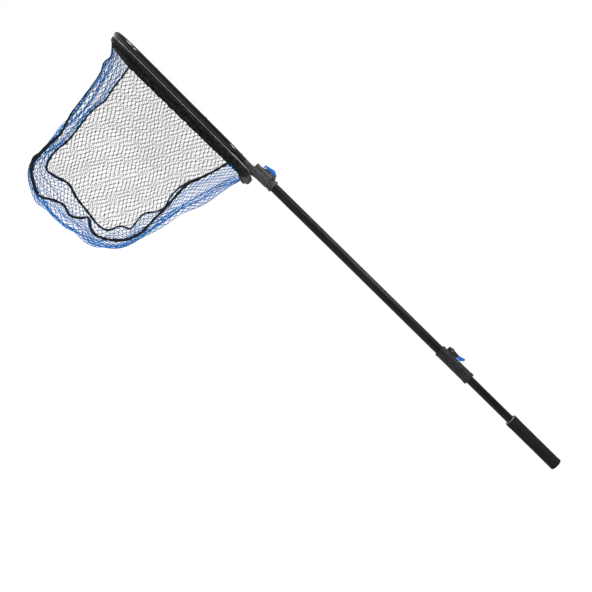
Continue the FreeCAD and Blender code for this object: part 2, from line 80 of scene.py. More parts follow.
# how deep the sleeve's creases are, and how far its hem sways and lifts between its stitches
CREASE_DEPTH = 0.0019
HEM_SWAY = 0.0030
HEM_LIFT = 0.0036
PIPING_RADIUS = 0.0012
PIPING_STANDOFF = 0.0008
PIPING_LEAN = math.radians(60)

# hem under the sleeve, which holds the top of the netting
HEM_DROP = 0.0035
HEM_HALF = 0.0012

# netting: yarns zigzag and meet their neighbours in short thick joints
YARN_SPACING = 0.0060
ROW_SPACING = 0.0102
JOINT_LENGTH = 0.0030
JOINT_GAP = 0.0005
YARN_SIDES = 4
BINDING_SIDES = 12
# thin and thick radius of each yarn: in its runs, and at its joints
BLACK_YARN = (0.00050, 0.00068)
BLUE_YARN = (0.00062, 0.00088)

# side panels: how far they bulge outwards, over what distance from an edge, and how uneven they are
PANEL_BULGE = 0.014
BULGE_REACH = 0.09
PANEL_RIPPLE = 0.004
CELL_DRIFT = 0.0045
PANEL_REACH = 0.36

# gusset: how much wider than its seams are apart, its folds and the lines that its yarns are drawn to.
# Each fold or line has a size, its waves across the gusset and along it, and a starting angle.
GUSSET_FULLNESS = 1.08
GUSSET_FOLDS = ((0.0052, 3.2, 0.7, 0.6), (0.0034, 6.3, -1.3, 2.0), (0.0022, 1.1, 7.5, 0.0))
GUSSET_GATHERS = ((0.011, 7.0, 1.1, 1.0), (0.006, 12.0, -2.3, 4.0))
ROW_DRIFT = 0.0030

# outline of the bag in the handle's plane, from the front of the rim round to its rear
BAG_OUTLINE = (
    (-1.604, -0.036), (-1.588, -0.068), (-1.576, -0.105), (-1.563, -0.155), (-1.556, -0.207),
    (-1.553, -0.250), (-1.554, -0.297), (-1.549, -0.345), (-1.550, -0.400), (-1.541, -0.434),
    (-1.523, -0.452), (-1.490, -0.467), (-1.456, -0.480), (-1.413, -0.485), (-1.368, -0.483),
    (-1.334, -0.478), (-1.297, -0.476), (-1.267, -0.466), (-1.234, -0.438), (-1.209, -0.414),
    (-1.194, -0.379), (-1.184, -0.334), (-1.170, -0.285), (-1.157, -0.232), (-1.137, -0.172),
    (-1.120, -0.108), (-1.098, -0.044),
)

# the two bound seams between the black side panels and the blue gusset
NEAR_SEAM = (
    (-1.582, -0.170, -0.036), (-1.563, -0.156, -0.060), (-1.567, -0.147, -0.087), (-1.557, -0.139, -0.112),
    (-1.550, -0.132, -0.155), (-1.545, -0.126, -0.201), (-1.540, -0.122, -0.243), (-1.531, -0.122, -0.274),
    (-1.522, -0.122, -0.306), (-1.524, -0.123, -0.346), (-1.523, -0.125, -0.380), (-1.523, -0.127, -0.407),
    (-1.508, -0.130, -0.430), (-1.476, -0.132, -0.452), (-1.442, -0.135, -0.464), (-1.412, -0.137, -0.448),
    (-1.378, -0.138, -0.436), (-1.345, -0.140, -0.443), (-1.323, -0.140, -0.430), (-1.307, -0.140, -0.414),
    (-1.280, -0.139, -0.430), (-1.258, -0.135, -0.432), (-1.226, -0.132, -0.416), (-1.196, -0.126, -0.386),
    (-1.181, -0.119, -0.345), (-1.182, -0.111, -0.295), (-1.182, -0.107, -0.249), (-1.185, -0.106, -0.204),
    (-1.185, -0.104, -0.166), (-1.171, -0.107, -0.126), (-1.157, -0.110, -0.085), (-1.144, -0.114, -0.038),
)
FAR_SEAM = (
    (-1.583, 0.168, -0.036), (-1.573, 0.151, -0.074), (-1.566, 0.142, -0.117), (-1.557, 0.134, -0.154),
    (-1.560, 0.128, -0.187), (-1.559, 0.122, -0.224), (-1.554, 0.122, -0.266), (-1.549, 0.122, -0.312),
    (-1.554, 0.124, -0.360), (-1.548, 0.126, -0.400), (-1.536, 0.129, -0.418), (-1.504, 0.133, -0.415),
    (-1.463, 0.137, -0.404), (-1.421, 0.139, -0.416), (-1.368, 0.139, -0.423), (-1.312, 0.140, -0.429),
    (-1.288, 0.140, -0.420), (-1.269, 0.140, -0.385), (-1.244, 0.135, -0.371), (-1.245, 0.129, -0.333),
    (-1.243, 0.122, -0.310), (-1.221, 0.114, -0.281), (-1.212, 0.106, -0.253), (-1.220, 0.105, -0.228),
    (-1.222, 0.104, -0.192), (-1.212, 0.106, -0.151), (-1.192, 0.111, -0.105), (-1.174, 0.118, -0.036),
)

# half the width of each seam's binding, from the front of the rim round to its rear
NEAR_BINDING = (
    0.0014, 0.0014, 0.0018, 0.0038, 0.0058, 0.0038, 0.0034, 0.0036, 0.0040, 0.0036, 0.0036, 0.0036, 0.0032,
)
FAR_BINDING = (0.0030, 0.0030, 0.0030, 0.0034, 0.0042, 0.0038, 0.0032, 0.0028, 0.0028, 0.0028, 0.0026)
BINDING_THICKNESS = 0.0024
SEAM_POINTS = 420

# ---------------------------------------------------------------- shaders


class Shader:
    """A procedural material: a principled shader and the textures that feed it."""

    def __init__(self, name, roughness, metallic=0.0, specular=0.5):
        self.material = bpy.data.materials.new(name)
        self.material.use_nodes = True
        self.tree = self.material.node_tree
        self.surface = self.tree.nodes["Principled BSDF"]
        self.surface.inputs["Roughness"].default_value = roughness
        self.surface.inputs["Metallic"].default_value = metallic
        self.surface.inputs["Specular IOR Level"].default_value = specular
        self.place = self.tree.nodes.new("ShaderNodeTexCoord").outputs["Object"]

    def link(self, start, end):
        self.tree.links.new(start, end)

    def stretched(self, stretch):
        """The object's own coordinates, scaled on each axis."""
        mapping = self.tree.nodes.new("ShaderNodeMapping")
        mapping.inputs["Scale"].default_value = stretch
        self.link(self.place, mapping.inputs["Vector"])
        return mapping.outputs["Vector"]

    def noise(self, scale, detail=3.0, stretch=(1, 1, 1)):
        texture = self.tree.nodes.new("ShaderNodeTexNoise")
        texture.inputs["Scale"].default_value = scale
        texture.inputs["Detail"].default_value = detail
        self.link(self.stretched(stretch), texture.inputs["Vector"])
        return texture.outputs["Fac"]

    def cells(self, scale):
        texture = self.tree.nodes.new("ShaderNodeTexVoronoi")
        texture.inputs["Scale"].default_value = scale
        self.link(self.place, texture.inputs["Vector"])
        return texture.outputs["Distance"]

    def wave(self, scale, direction, distortion=0.0):
        texture = self.tree.nodes.new("ShaderNodeTexWave")
        texture.bands_direction = direction
        texture.inputs["Scale"].default_value = scale
        texture.inputs["Distortion"].default_value = distortion
        self.link(self.place, texture.inputs["Vector"])
        return texture.outputs["Fac"]

    def colours(self, factor, dark, light, low=0.35, high=0.65):
        """Base colour that runs from one colour to another with a texture."""
        ramp = self.tree.nodes.new("ShaderNodeValToRGB")
        ramp.color_ramp.elements[0].position = low
        ramp.color_ramp.elements[1].position = high
        ramp.color_ramp.elements[0].color = (*dark, 1)
        ramp.color_ramp.elements[1].color = (*light, 1)
        self.link(factor, ramp.inputs["Fac"])
        self.link(ramp.outputs["Color"], self.surface.inputs["Base Color"])

    def rough(self, factor, low, high):
        spread = self.tree.nodes.new("ShaderNodeMapRange")
        spread.inputs["From Min"].default_value = 0.3
        spread.inputs["From Max"].default_value = 0.7
        spread.inputs["To Min"].default_value = low
        spread.inputs["To Max"].default_value = high
        self.link(factor, spread.inputs["Value"])
        self.link(spread.outputs["Result"], self.surface.inputs["Roughness"])

    def bump(self, height, depth, strength=1.0):
        """Relief of a stated depth in metres, on top of any relief that is there already."""
        relief = self.tree.nodes.new("ShaderNodeBump")
        relief.inputs["Distance"].default_value = depth
        relief.inputs["Strength"].default_value = strength
        self.link(height, relief.inputs["Height"])
        normal = self.surface.inputs["Normal"]
        if normal.links:
            self.link(normal.links[0].from_socket, relief.inputs["Normal"])
        self.link(relief.outputs["Normal"], normal)

    def set(self, **values):
        for socket, value in values.items():
            self.surface.inputs[socket.replace("_", " ")].default_value = value


def make_tube_shader(name, dark, light, roughness, coat):
    """Drawn aluminium tube with a black finish: fine lengthwise streaks and faint scuffs."""
    shader = Shader(name, roughness, specular=0.12)
    shader.colours(shader.noise(60, 4, (0.12, 1, 1)), dark, light)
    shader.rough(shader.noise(420, 3, (0.03, 1, 1)), roughness - 0.06, roughness + 0.08)
    shader.bump(shader.noise(900, 2, (0.04, 1, 1)), 0.00003, 0.5)
    shader.set(Coat_Weight=coat, Coat_Roughness=0.12)
    return shader.material


def make_plastic_shader(name, dark, light, roughness, specular=0.16):
    """Moulded plastic with a fine grain and slight cloudiness."""
    shader = Shader(name, roughness, specular=specular)
    shader.colours(shader.noise(90, 3), dark, light)
    shader.rough(shader.noise(260, 4), roughness - 0.06, roughness + 0.1)
    shader.bump(shader.noise(1600, 3), 0.00006, 0.6)
    return shader.material


def make_rubber_shader(name, dark, light, pebble=900):
    """Moulded foam rubber: a matt pebbled skin."""
    shader = Shader(name, 0.72, specular=0.08)
    shader.colours(shader.noise(240, 4), dark, light)
    shader.rough(shader.noise(150, 3), 0.62, 0.84)
    shader.bump(shader.cells(pebble), 0.00018, 0.55)
    shader.bump(shader.noise(2600, 2), 0.00005, 0.5)
    return shader.material


def make_steel_shader():
    """Turned steel for pins and screws."""
    shader = Shader("steel", 0.3, metallic=1.0)
    shader.colours(shader.noise(500, 3), (0.34, 0.34, 0.35), (0.52, 0.52, 0.54))
    shader.rough(shader.noise(1500, 2, (1, 0.1, 1)), 0.22, 0.42)
    shader.bump(shader.noise(2200, 2, (1, 0.1, 1)), 0.00002, 0.4)
    return shader.material


def make_sleeve_shader():
    """Coated nylon: a close plain weave, crumpled, with hardly any shine; its lighter patches are painted
    highlights on the crumples.
    """
    shader = Shader("sleeve_fabric", 0.6, specular=0.09)
    dark = (0.003, 0.003, 0.004)
    light = (0.024, 0.024, 0.025)
    crumple = (1, 2.4, 1.6)
    # lighter patches in this colour are painted highlights on the crumples
    shader.colours(shader.noise(120, 5, crumple), dark, light, 0.48, 0.72)
    shader.rough(shader.noise(300, 4), 0.5, 0.7)
    shader.bump(shader.wave(260, "X"), 0.00008, 0.5)
    shader.bump(shader.wave(260, "Z"), 0.00008, 0.5)
    shader.bump(shader.noise(110, 4, crumple), 0.0016, 0.7)
    shader.set(Sheen_Weight=0.04, Sheen_Roughness=0.4)
    return shader.material


def make_yarn_shader(name, dark, light):
    """Rubber-coated netting yarn: slightly lumpy, with darker and lighter stretches."""
    shader = Shader(name, 0.5, specular=0.14)
    shader.colours(shader.noise(45, 3), dark, light, 0.3, 0.7)
    shader.rough(shader.noise(600, 2), 0.42, 0.6)
    shader.bump(shader.noise(1500, 3), 0.0002, 0.6)
    return shader.material


def make_binding_shader():
    """Woven binding tape of the seams."""
    shader = Shader("seam_binding", 0.75, specular=0.08)
    shader.colours(shader.noise(300, 3), (0.004, 0.004, 0.005), (0.014, 0.014, 0.016))
    shader.rough(shader.noise(400, 2), 0.65, 0.85)
    shader.bump(shader.wave(330, "DIAGONAL", 1.5), 0.0003, 0.7)
    shader.set(Sheen_Weight=0.03, Sheen_Roughness=0.5)
    return shader.material


# ---------------------------------------------------------------- mesh helpers

def mesh_piece(name, verts, faces, material):
    """A new smooth mesh object that rides on the head."""
    mesh = bpy.data.meshes.new(name)
    mesh.from_pydata([tuple(v) for v in verts], [], [tuple(f) for f in faces])
    mesh.update()
    mesh.polygons.foreach_set("use_smooth", [True] * len(mesh.polygons))
    mesh.materials.append(material)
    piece = bpy.data.objects.new(name, mesh)
    bpy.context.scene.collection.objects.link(piece)
    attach(piece, "head")
    return piece


def evenly_round(points, spacing):
    """The same closed line with points a set distance apart."""
    line = np.asarray(points, float)
    line = np.vstack([line, line[:1]])
    steps = np.linalg.norm(np.diff(line, axis=0), axis=1)
    along = np.concatenate([[0.0], np.cumsum(steps)])
    count = max(2, int(round(along[-1] / spacing)) + 1)
    places = np.linspace(0, along[-1], count)
    even = np.column_stack([np.interp(places, along, line[:, axis]) for axis in range(line.shape[1])])
    return even[:-1]


def smooth_curve(points, count):
    """A smooth line through the points (centripetal Catmull-Rom), evenly spaced along its length."""
    line = np.asarray(points, float)
    line = np.vstack([2 * line[0] - line[1], line, 2 * line[-1] - line[-2]])
    pieces = []
    share = np.linspace(0, 1, 24, endpoint=False)[:, None]
    for index in range(1, len(line) - 2):
        before, start, end, after = line[index - 1:index + 3]
        knots = [0.0]
        for first, second in ((before, start), (start, end), (end, after)):
            knots.append(knots[-1] + math.sqrt(max(np.linalg.norm(second - first), 1e-9)))
        t = knots[1] + (knots[2] - knots[1]) * share
        a1 = ((knots[1] - t) * before + (t - knots[0]) * start) / (knots[1] - knots[0])
        a2 = ((knots[2] - t) * start + (t - knots[1]) * end) / (knots[2] - knots[1])
        a3 = ((knots[3] - t) * end + (t - knots[2]) * after) / (knots[3] - knots[2])
        b1 = ((knots[2] - t) * a1 + (t - knots[0]) * a2) / (knots[2] - knots[0])
        b2 = ((knots[3] - t) * a2 + (t - knots[1]) * a3) / (knots[3] - knots[1])
        pieces.append(((knots[2] - t) * b1 + (t - knots[1]) * b2) / (knots[2] - knots[1]))
    dense = np.vstack(pieces + [line[-2:-1]])
    steps = np.linalg.norm(np.diff(dense, axis=0), axis=1)
    along = np.concatenate([[0.0], np.cumsum(steps)]) / steps.sum()
    places = np.linspace(0, 1, count)
    return np.column_stack([np.interp(places, along, dense[:, axis]) for axis in range(line.shape[1])])


def rounded_loop(corners, radii, spacing):
    """A closed line of straight runs joined by tangent arcs."""
    points = []
    count = len(corners)
    for index, corner in enumerate(corners):
        back = (corners[index - 1] - corner).normalized()
        ahead = (corners[(index + 1) % count] - corner).normalized()
        half = back.angle(ahead) / 2
        centre = corner + (back + ahead).normalized() * radii[index] / math.sin(half)
        start = corner + back * (radii[index] / math.tan(half)) - centre
        end = corner + ahead * (radii[index] / math.tan(half)) - centre
        turn = math.pi - 2 * half
        steps = max(2, math.ceil(radii[index] * turn / spacing))
        for step in range(steps + 1):
            share = step / steps
            arm = (start * math.sin((1 - share) * turn) + end * math.sin(share * turn)) / math.sin(turn)
            points.append(centre + arm)
    return evenly_round(points, spacing)


def headings(line, closed=False):
    """Unit directions along a line of points."""
    if closed:
        flow = np.roll(line, -1, axis=0) - np.roll(line, 1, axis=0)
    else:
        flow = np.gradient(line, axis=0)
    return flow / np.maximum(np.linalg.norm(flow, axis=1, keepdims=True), 1e-12)


def tube_rings(line, face_normals, radii, sides):
    """Rings of vertices around a line, one at each of its points."""
    flow = headings(line)
    side = np.cross(face_normals, flow)
    side /= np.maximum(np.linalg.norm(side, axis=1, keepdims=True), 1e-12)
    up = np.cross(flow, side)
    angles = np.linspace(0, 2 * math.pi, sides, endpoint=False) + math.pi / sides
    wide, thick = radii
    ring = side[:, None, :] * (np.cos(angles)[None, :, None] * np.asarray(wide).reshape(-1, 1, 1))
    ring = ring + up[:, None, :] * (np.sin(angles)[None, :, None] * np.asarray(thick).reshape(-1, 1, 1))
    return line[:, None, :] + ring


def tube_faces(ring_count, sides, first, closed_ends=True):
    """Quads that join rings into a tube, with a face at each end if its ends are closed."""
    rows = np.arange(ring_count - 1)[:, None] * sides
    columns = np.arange(sides)[None, :]
    following = (columns + 1) % sides
    here = rows + columns
    beside = rows + following
    quads = np.stack([here, beside, beside + sides, here + sides], axis=-1)
    faces = (quads.reshape(-1, 4) + first).tolist()
    if closed_ends:
        faces.append([first + side for side in reversed(range(sides))])
        faces.append([first + (ring_count - 1) * sides + side for side in range(sides)])
    return faces


def loop_faces(ring_count, sides, open_seam=False):
    """Quads that join rings into a closed loop, with a slit all along it if it has an open seam."""
    faces = []
    for ring in range(ring_count):
        here = ring * sides
        beyond = (ring + 1) % ring_count * sides
        for side in range(sides - 1 if open_seam else sides):
            following = (side + 1) % sides
            faces.append((here + side, beyond + side, beyond + following, here + following))
    return faces


# ---------------------------------------------------------------- rim: sleeve, hem and piping

def rim_corners():
    """Corners of the rim from the rear on the near side, round the front, to the rear on the far side."""
    arm = (RIM_DIP_END, RIM_DIP_START, FRONT_CORNER)
    levels = (RIM_DIP_Z, RIM_Z, RIM_Z)
    near = [Vector((x, -y, z)) for (x, y), z in zip(arm, levels)]
    far = [Vector((x, y, z)) for (x, y), z in zip(arm, levels)]
    return near + [Vector((RIM_FRONT, 0, RIM_Z))] + far[::-1]


arm_radii = (DIP_END_RADIUS, DIP_START_RADIUS, CORNER_RADIUS)
rim_line = rounded_loop(rim_corners(), (*arm_radii, FRONT_RADIUS, *arm_radii[::-1]), RIM_SPACING)
rim_flow = headings(rim_line, closed=True)
rim_side = np.cross(rim_flow, (0, 0, 1))
rim_side /= np.linalg.norm(rim_side, axis=1, keepdims=True)
rim_middle = rim_line.mean(axis=0)
if np.sum(rim_side * (rim_line - rim_middle)) < 0:
    rim_side = -rim_side
rim_up = np.cross(rim_side, rim_flow)
rim_up *= np.sign(rim_up[:, 2:3])


def crease_strength(x):
    """How strongly the sleeve is creased along the handle: nearly smooth at both ends of the hoop."""
    rise = np.clip((x + 1.575) / 0.07, 0, 1)
    fall = np.clip((-1.165 - x) / 0.06, 0, 1)
    least = 0.16
    return least + (1 - least) * rise * fall


def sleeve_swell(x):
    """How much fuller the sleeve is where it is folded double round the rear bar."""
    share = float(np.clip((x + 1.132) / 0.032, 0, 1))
    most = 0.50
    return 1 + most * share * share * (3 - 2 * share)


def front_share(x):
    """0 behind the front bar of the rim, rising to 1 along it."""
    return float(np.clip((-1.580 - x) / 0.02, 0, 1))


def sleeve_section():
    """The sleeve's section from hem to hem: outward, upward, and how far down the hem each point is."""
    angles = np.radians(np.linspace(-72, 252, 34))
    section = [(SLEEVE_RADIUS * math.cos(a), SLEEVE_RADIUS * math.sin(a), 0.0) for a in angles]
    depths = np.linspace(0.15, 1.0, 4)
    left = [(-HEM_HALF, -SLEEVE_RADIUS - HEM_DROP * depth, depth) for depth in depths]
    right = [(HEM_HALF, -SLEEVE_RADIUS - HEM_DROP * depth, depth) for depth in depths[::-1]]
    return right + section + left


def make_sleeve(material):
    """The creased sleeve of the rim: fuller and squarer at its rear bar, and open along its hem."""
    section = sleeve_section()
    front_shoulder = 0.26
    front_lean = 0.45
    rear_squareness = 0.5
    verts = []
    for index, point in enumerate(rim_line):
        strength = float(crease_strength(point[0]))
        swell = sleeve_swell(point[0])
        front = front_share(point[0])
        along = index * RIM_SPACING
        for out, up, depth in section:
            turn = math.atan2(up, out)
            place = Vector((along * 46 + turn * 1.7, turn * 1.1, 2.0))
            crease = 1.0 - 2.2 * abs(noise.noise(place)) + 0.5 * noise.noise(place * 2.7)
            puff = CREASE_DEPTH * strength * (crease - 0.62)
            sway = HEM_SWAY * depth * strength * noise.noise(Vector((along * 70, depth * 0.6, 7.0)))
            lift = HEM_LIFT * depth * noise.noise(Vector((along * 60, 0.0, 11.0)))
            reach = swell + puff / SLEEVE_RADIUS * (1 - depth)
            reach += front_shoulder * front * max(0.0, math.sin(2 * turn)) * (out > 0)
            reach += rear_squareness * (swell - 1) * math.sin(2 * turn) ** 2
            sway += front_lean * front * (up - SLEEVE_RADIUS)
            verts.append(point + rim_side[index] * (out * reach + sway) + rim_up[index] * (up * reach + lift))
    faces = loop_faces(len(rim_line), len(section), open_seam=True)
    sleeve = mesh_piece("rim_sleeve_fabric", verts, faces, material)
    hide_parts("net_sleeve")
    return sleeve


def make_piping(material):
    """The thin piping along the sleeve's upper outer shoulder, in a light grey that is a painted highlight
    line.
    """
    swell = np.array([[sleeve_swell(x)] for x in rim_line[:, 0]])
    reach = SLEEVE_RADIUS * swell + PIPING_STANDOFF
    line = rim_line + (rim_side * math.cos(PIPING_LEAN) + rim_up * math.sin(PIPING_LEAN)) * reach
    sides = 8
    verts = []
    for index, point in enumerate(line):
        for side in range(sides):
            angle = 2 * math.pi * side / sides
            arm = rim_side[index] * math.cos(angle) + rim_up[index] * math.sin(angle)
            verts.append(point + PIPING_RADIUS * arm)
    piping = mesh_piece("rim_piping_painted_highlight", verts, loop_faces(len(line), sides), material)
    return piping


# ---------------------------------------------------------------- netting

def zigzag(yarn, row_places):
    """One yarn: sideways and lengthways places, and a thickness from 0 in its runs to 1 at its joints."""
    across = []
    along = []
    thickness = []
    swing = YARN_SPACING / 2 - JOINT_GAP
    for row, place in enumerate(row_places):
        side = 1 if (row + yarn) % 2 == 0 else -1
        for offset in (-JOINT_LENGTH / 2, JOINT_LENGTH / 2):
            across.append(yarn * YARN_SPACING + side * swing)
            along.append(place + offset)
            thickness.append(1.0)
        across.append(yarn * YARN_SPACING)
        along.append(place + ROW_SPACING / 2)
        thickness.append(0.0)
    return np.array(across), np.array(along), np.array(thickness)


def drift(first, second, phase):
    """A slow uneven shift between -1 and 1, so that no two cells are quite alike."""
    slow = np.sin(first * 23 + second * 17 + phase) + 0.6 * np.sin(first * 51 - second * 43 + 2.1 * phase)
    return (slow + 0.35 * np.sin(first * 118 + second * 97 + 3.7 * phase)) / 1.95


def waves(table, across, share):
    """The sum of some slanting waves over the gusset."""
    total = 0.0
    for size, count_across, count_along, angle in table:
        total = total + size * np.sin(2 * math.pi * (count_across * across + count_along * share) + angle)
    return total


class Netting:
    """Collects yarns into one mesh."""

    def __init__(self, yarn_radii):
        self.thin, self.thick = yarn_radii
        self.verts = []
        self.faces = []
        self.count = 0

    def add(self, line, normals, thickness):
        """Adds one yarn as a thin tube with open ends, along a line of points."""
        if len(line) < 2:
            return
        radius = self.thin + (self.thick - self.thin) * thickness
        rings = tube_rings(line, normals, (radius, radius), YARN_SIDES)
        self.verts.append(rings.reshape(-1, 3))
        self.faces += tube_faces(len(line), YARN_SIDES, self.count, closed_ends=False)
        self.count += len(line) * YARN_SIDES

    def piece(self, name, material):
        """All the yarns so far as one object."""
        return mesh_piece(name, np.vstack(self.verts), self.faces, material)


def inside_outline(points, outline):
    """Which points of a plane lie inside a closed outline."""
    x, z = points[:, :1], points[:, 1:2]
    x1, z1 = outline[None, :, 0], outline[None, :, 1]
    x2, z2 = np.roll(outline, -1, axis=0).T[:, None, :]
    rise = np.where(z2 == z1, 1e-12, z2 - z1)
    crosses = (z1 > z) != (z2 > z)
    left_of_edge = x < x1 + (x2 - x1) * (z - z1) / rise
    return (crosses & left_of_edge).sum(axis=1) % 2 == 1


def cut_share(kept, lost, outline):
    """How far along the line from a kept point to a lost one the outline is crossed."""
    shares = np.linspace(0, 1, 33)[:, None]
    inside = inside_outline(kept + (lost - kept) * shares, outline)
    return shares[max(int(np.argmin(inside)) - 1, 0), 0]


def runs_inside(line, outline):
    """The stretches of a line of (x, z, thickness) that lie inside an outline, cut off at its edge."""
    keep = inside_outline(line[:, :2], outline)
    runs = []
    current = []
    for index in range(len(line)):
        before = line[index - 1]
        here = line[index]
        if keep[index]:
            if not current and index > 0:
                current.append(here + (before - here) * cut_share(here[:2], before[:2], outline))
            current.append(here)
        elif current:
            current.append(before + (here - before) * cut_share(before[:2], here[:2], outline))
            runs.append(np.array(current))
            current = []
    if len(current) > 1:
        runs.append(np.array(current))
    return runs


def arm_line(side):
    """The bottom of the hem along one arm of the rim, from front to rear."""
    least_width = 0.09
    arm = rim_line[rim_line[:, 1] * side > least_width]
    arm = arm[np.argsort(arm[:, 0])]
    line = arm.copy()
    line[:, 2] -= SLEEVE_RADIUS + HEM_DROP * 0.6
    return line


def make_side_panel(name, node, seam, side, lean, material):
    """One black side panel, cut from a sheet of netting to the line of its seam and the rim."""
    arm = arm_line(side)
    arm = arm[(arm[:, 0] > seam[0, 0]) & (arm[:, 0] < seam[-1, 0])]
    edge = np.vstack([seam, arm[::-1]])
    outline = edge[:, [0, 2]]
    centre = outline.mean(axis=0)

    def depth(points):
        """How far the panel stands from the handle's plane, by nearness to its edges."""
        gaps = np.linalg.norm(points[:, None, :] - outline[None], axis=2)
        weights = 1 / (gaps ** 2 + 1e-5) ** 1.5
        level = (weights * edge[None, :, 1]).sum(axis=1) / weights.sum(axis=1)
        bulge = np.minimum(gaps.min(axis=1), BULGE_REACH) / BULGE_REACH
        ripple = PANEL_RIPPLE * drift(points[:, 0], points[:, 1], side) * bulge
        return level + side * PANEL_BULGE * bulge * (2 - bulge) + ripple

    net = Netting(BLACK_YARN)
    rows = np.arange(-PANEL_REACH, PANEL_REACH, ROW_SPACING)
    yarns = int(PANEL_REACH / YARN_SPACING)
    turn = math.radians(lean)
    for yarn in range(-yarns, yarns + 1):
        across, down, thickness = zigzag(yarn, rows)
        across = across + CELL_DRIFT * drift(across, down, 1.0)
        down = down + CELL_DRIFT * drift(across, down, 2.0)
        x = centre[0] + across * math.cos(turn) - down * math.sin(turn)
        z = centre[1] + across * math.sin(turn) + down * math.cos(turn)
        for run in runs_inside(np.column_stack([x, z, thickness]), outline):
            line = np.column_stack([run[:, 0], depth(run[:, :2]), run[:, 1]])
            net.add(line, np.tile((0.0, 1.0, 0.0), (len(line), 1)), run[:, 2])
    panel = net.piece(name, material)
    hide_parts(node)
    return panel


def make_gusset(near, middle, far, material):
    """The blue gusset: a band of netting from one seam to the other, with soft lengthways folds."""
    count = len(middle)
    flow = headings(middle)
    outward = np.column_stack([flow[:, 2], np.zeros(count), -flow[:, 0]])
    if np.sum(outward * (middle - middle.mean(axis=0))) < 0:
        outward = -outward
    length = np.linalg.norm(np.diff(middle, axis=0), axis=1).sum()
    width = np.linalg.norm(near - far, axis=1).mean() * GUSSET_FULLNESS

    def place(share, across):
        """Points of the band: share runs along the outline, across from the near seam to the far one."""
        spot = np.clip(share, 0, 1) * (count - 1)
        low = np.minimum(spot.astype(int), count - 2)
        rest = (spot - low)[:, None]
        edge_near = near[low] * (1 - rest) + near[low + 1] * rest
        crest = middle[low] * (1 - rest) + middle[low + 1] * rest
        edge_far = far[low] * (1 - rest) + far[low + 1] * rest
        out = outward[low] * (1 - rest) + outward[low + 1] * rest
        w = across[:, None]
        band = edge_near * (2 * w - 1) * (w - 1) + crest * 4 * w * (1 - w) + edge_far * w * (2 * w - 1)
        hold = np.sin(math.pi * across) ** 0.8
        ends = np.clip(np.minimum(share, 1 - share) / 0.06, 0, 1)
        fold = waves(GUSSET_FOLDS, across, share)
        return band + out * (hold * ends * fold)[:, None], out

    def gather(share, across):
        """Draws the yarns together along the folds, most of all down the front."""
        slack = 0.25 + 0.65 * np.clip((0.42 - share) / 0.1, 0, 1)
        drawn = waves(GUSSET_GATHERS, across, share)
        return across + drawn * slack * np.sin(math.pi * np.clip(across, 0, 1))

    net = Netting(BLUE_YARN)
    yarns = int(width / YARN_SPACING)
    rows = np.arange(0.0, length, ROW_SPACING)
    for yarn in range(yarns):
        across, along, thickness = zigzag(yarn, rows)
        across = (across + YARN_SPACING / 2) / (yarns * YARN_SPACING)
        share = np.clip(along / length, 0, 1)
        across = gather(share, across)
        share = share + ROW_DRIFT * drift(share, across * 0.3, 4.0)
        line, out = place(np.clip(share, 0, 1), np.clip(across, 0, 1))
        net.add(line, out, thickness)
    gusset = net.piece("net_gusset_mesh", material)
    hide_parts("net_gusset")
    return gusset


def make_binding(name, seam, widths, material):
    """The folded tape that binds a seam: flat in section, and wider along some stretches than others."""
    count = len(seam)
    shares = np.linspace(0, 1, len(widths))
    wide = np.interp(np.linspace(0, 1, count), shares, widths)
    places = np.arange(count)
    ripple = 1 + 0.12 * np.sin(places * 0.55) + 0.08 * np.sin(places * 0.23)
    thick = np.minimum(wide * 0.75, BINDING_THICKNESS)
    lean = np.column_stack([np.zeros(count), np.full(count, 1.0), 0.5 * np.sin(np.linspace(0, 9, count))])
    rings = tube_rings(seam, lean, (wide * ripple, thick), BINDING_SIDES)
    binding = mesh_piece(name, rings.reshape(-1, 3), tube_faces(count, BINDING_SIDES, 0), material)
    return binding


# ---------------------------------------------------------------- camera, floor and light

VIEW_DISTANCE = 3.4
VIEW_MIDDLE = Vector((-0.763, 0.0, -0.173))
VIEW_ROLL = math.radians(-44.5)
FLOOR_DROP = 0.25
FLOOR_REACH = 60.0


def make_camera():
    """A level camera at the net's side, rolled so that the handle runs down to the right."""
    camera = bpy.data.objects.new("camera", bpy.data.cameras.new("camera"))
    camera.data.lens = 74.0
    camera.location = VIEW_MIDDLE + Vector((0, -VIEW_DISTANCE, 0))
    level = Euler((math.radians(90), 0, 0)).to_matrix()
    roll = Euler((0, VIEW_ROLL, 0)).to_matrix()
    camera.rotation_euler = (roll @ level).to_euler()
    bpy.context.scene.collection.objects.link(camera)
    bpy.context.scene.camera = camera


def make_floor():
    """A plain pale floor under the bag."""
    level = cad_low.z - FLOOR_DROP
    reach = FLOOR_REACH
    verts = [(-reach, -reach, level), (reach, -reach, level), (reach, reach, level), (-reach, reach, level)]
    mesh = bpy.data.meshes.new("floor")
    mesh.from_pydata(verts, [], [(0, 1, 2, 3)])
    floor = bpy.data.objects.new("floor", mesh)
    bpy.context.scene.collection.objects.link(floor)
    shader = Shader("floor", 0.9, specular=0.1)
    shader.set(Base_Color=(0.14, 0.14, 0.14, 1), Emission_Color=(1, 1, 1, 1), Emission_Strength=0.93)
    mesh.materials.append(shader.material)


def make_sun(name, azimuth, elevation, strength, spread):
    """A distant light; the azimuth is turned from the camera's side towards the butt, in degrees."""
    light = bpy.data.lights.new(name, "SUN")
    light.energy = strength
    light.angle = math.radians(spread)
    sun = bpy.data.objects.new(name, light)
    sun.rotation_euler = (math.radians(90 - elevation), 0, math.radians(azimuth))
    bpy.context.scene.collection.objects.link(sun)


def make_softbox(name, place, target, size, power):
    """A rectangular light that faces its target."""
    light = bpy.data.lights.new(name, "AREA")
    light.shape = "RECTANGLE"
    light.size, light.size_y = size
    light.energy = power
    box = bpy.data.objects.new(name, light)
    box.location = place
    box.rotation_euler = (Vector(target) - Vector(place)).to_track_quat("-Z", "Y").to_euler()
    bpy.context.scene.collection.objects.link(box)


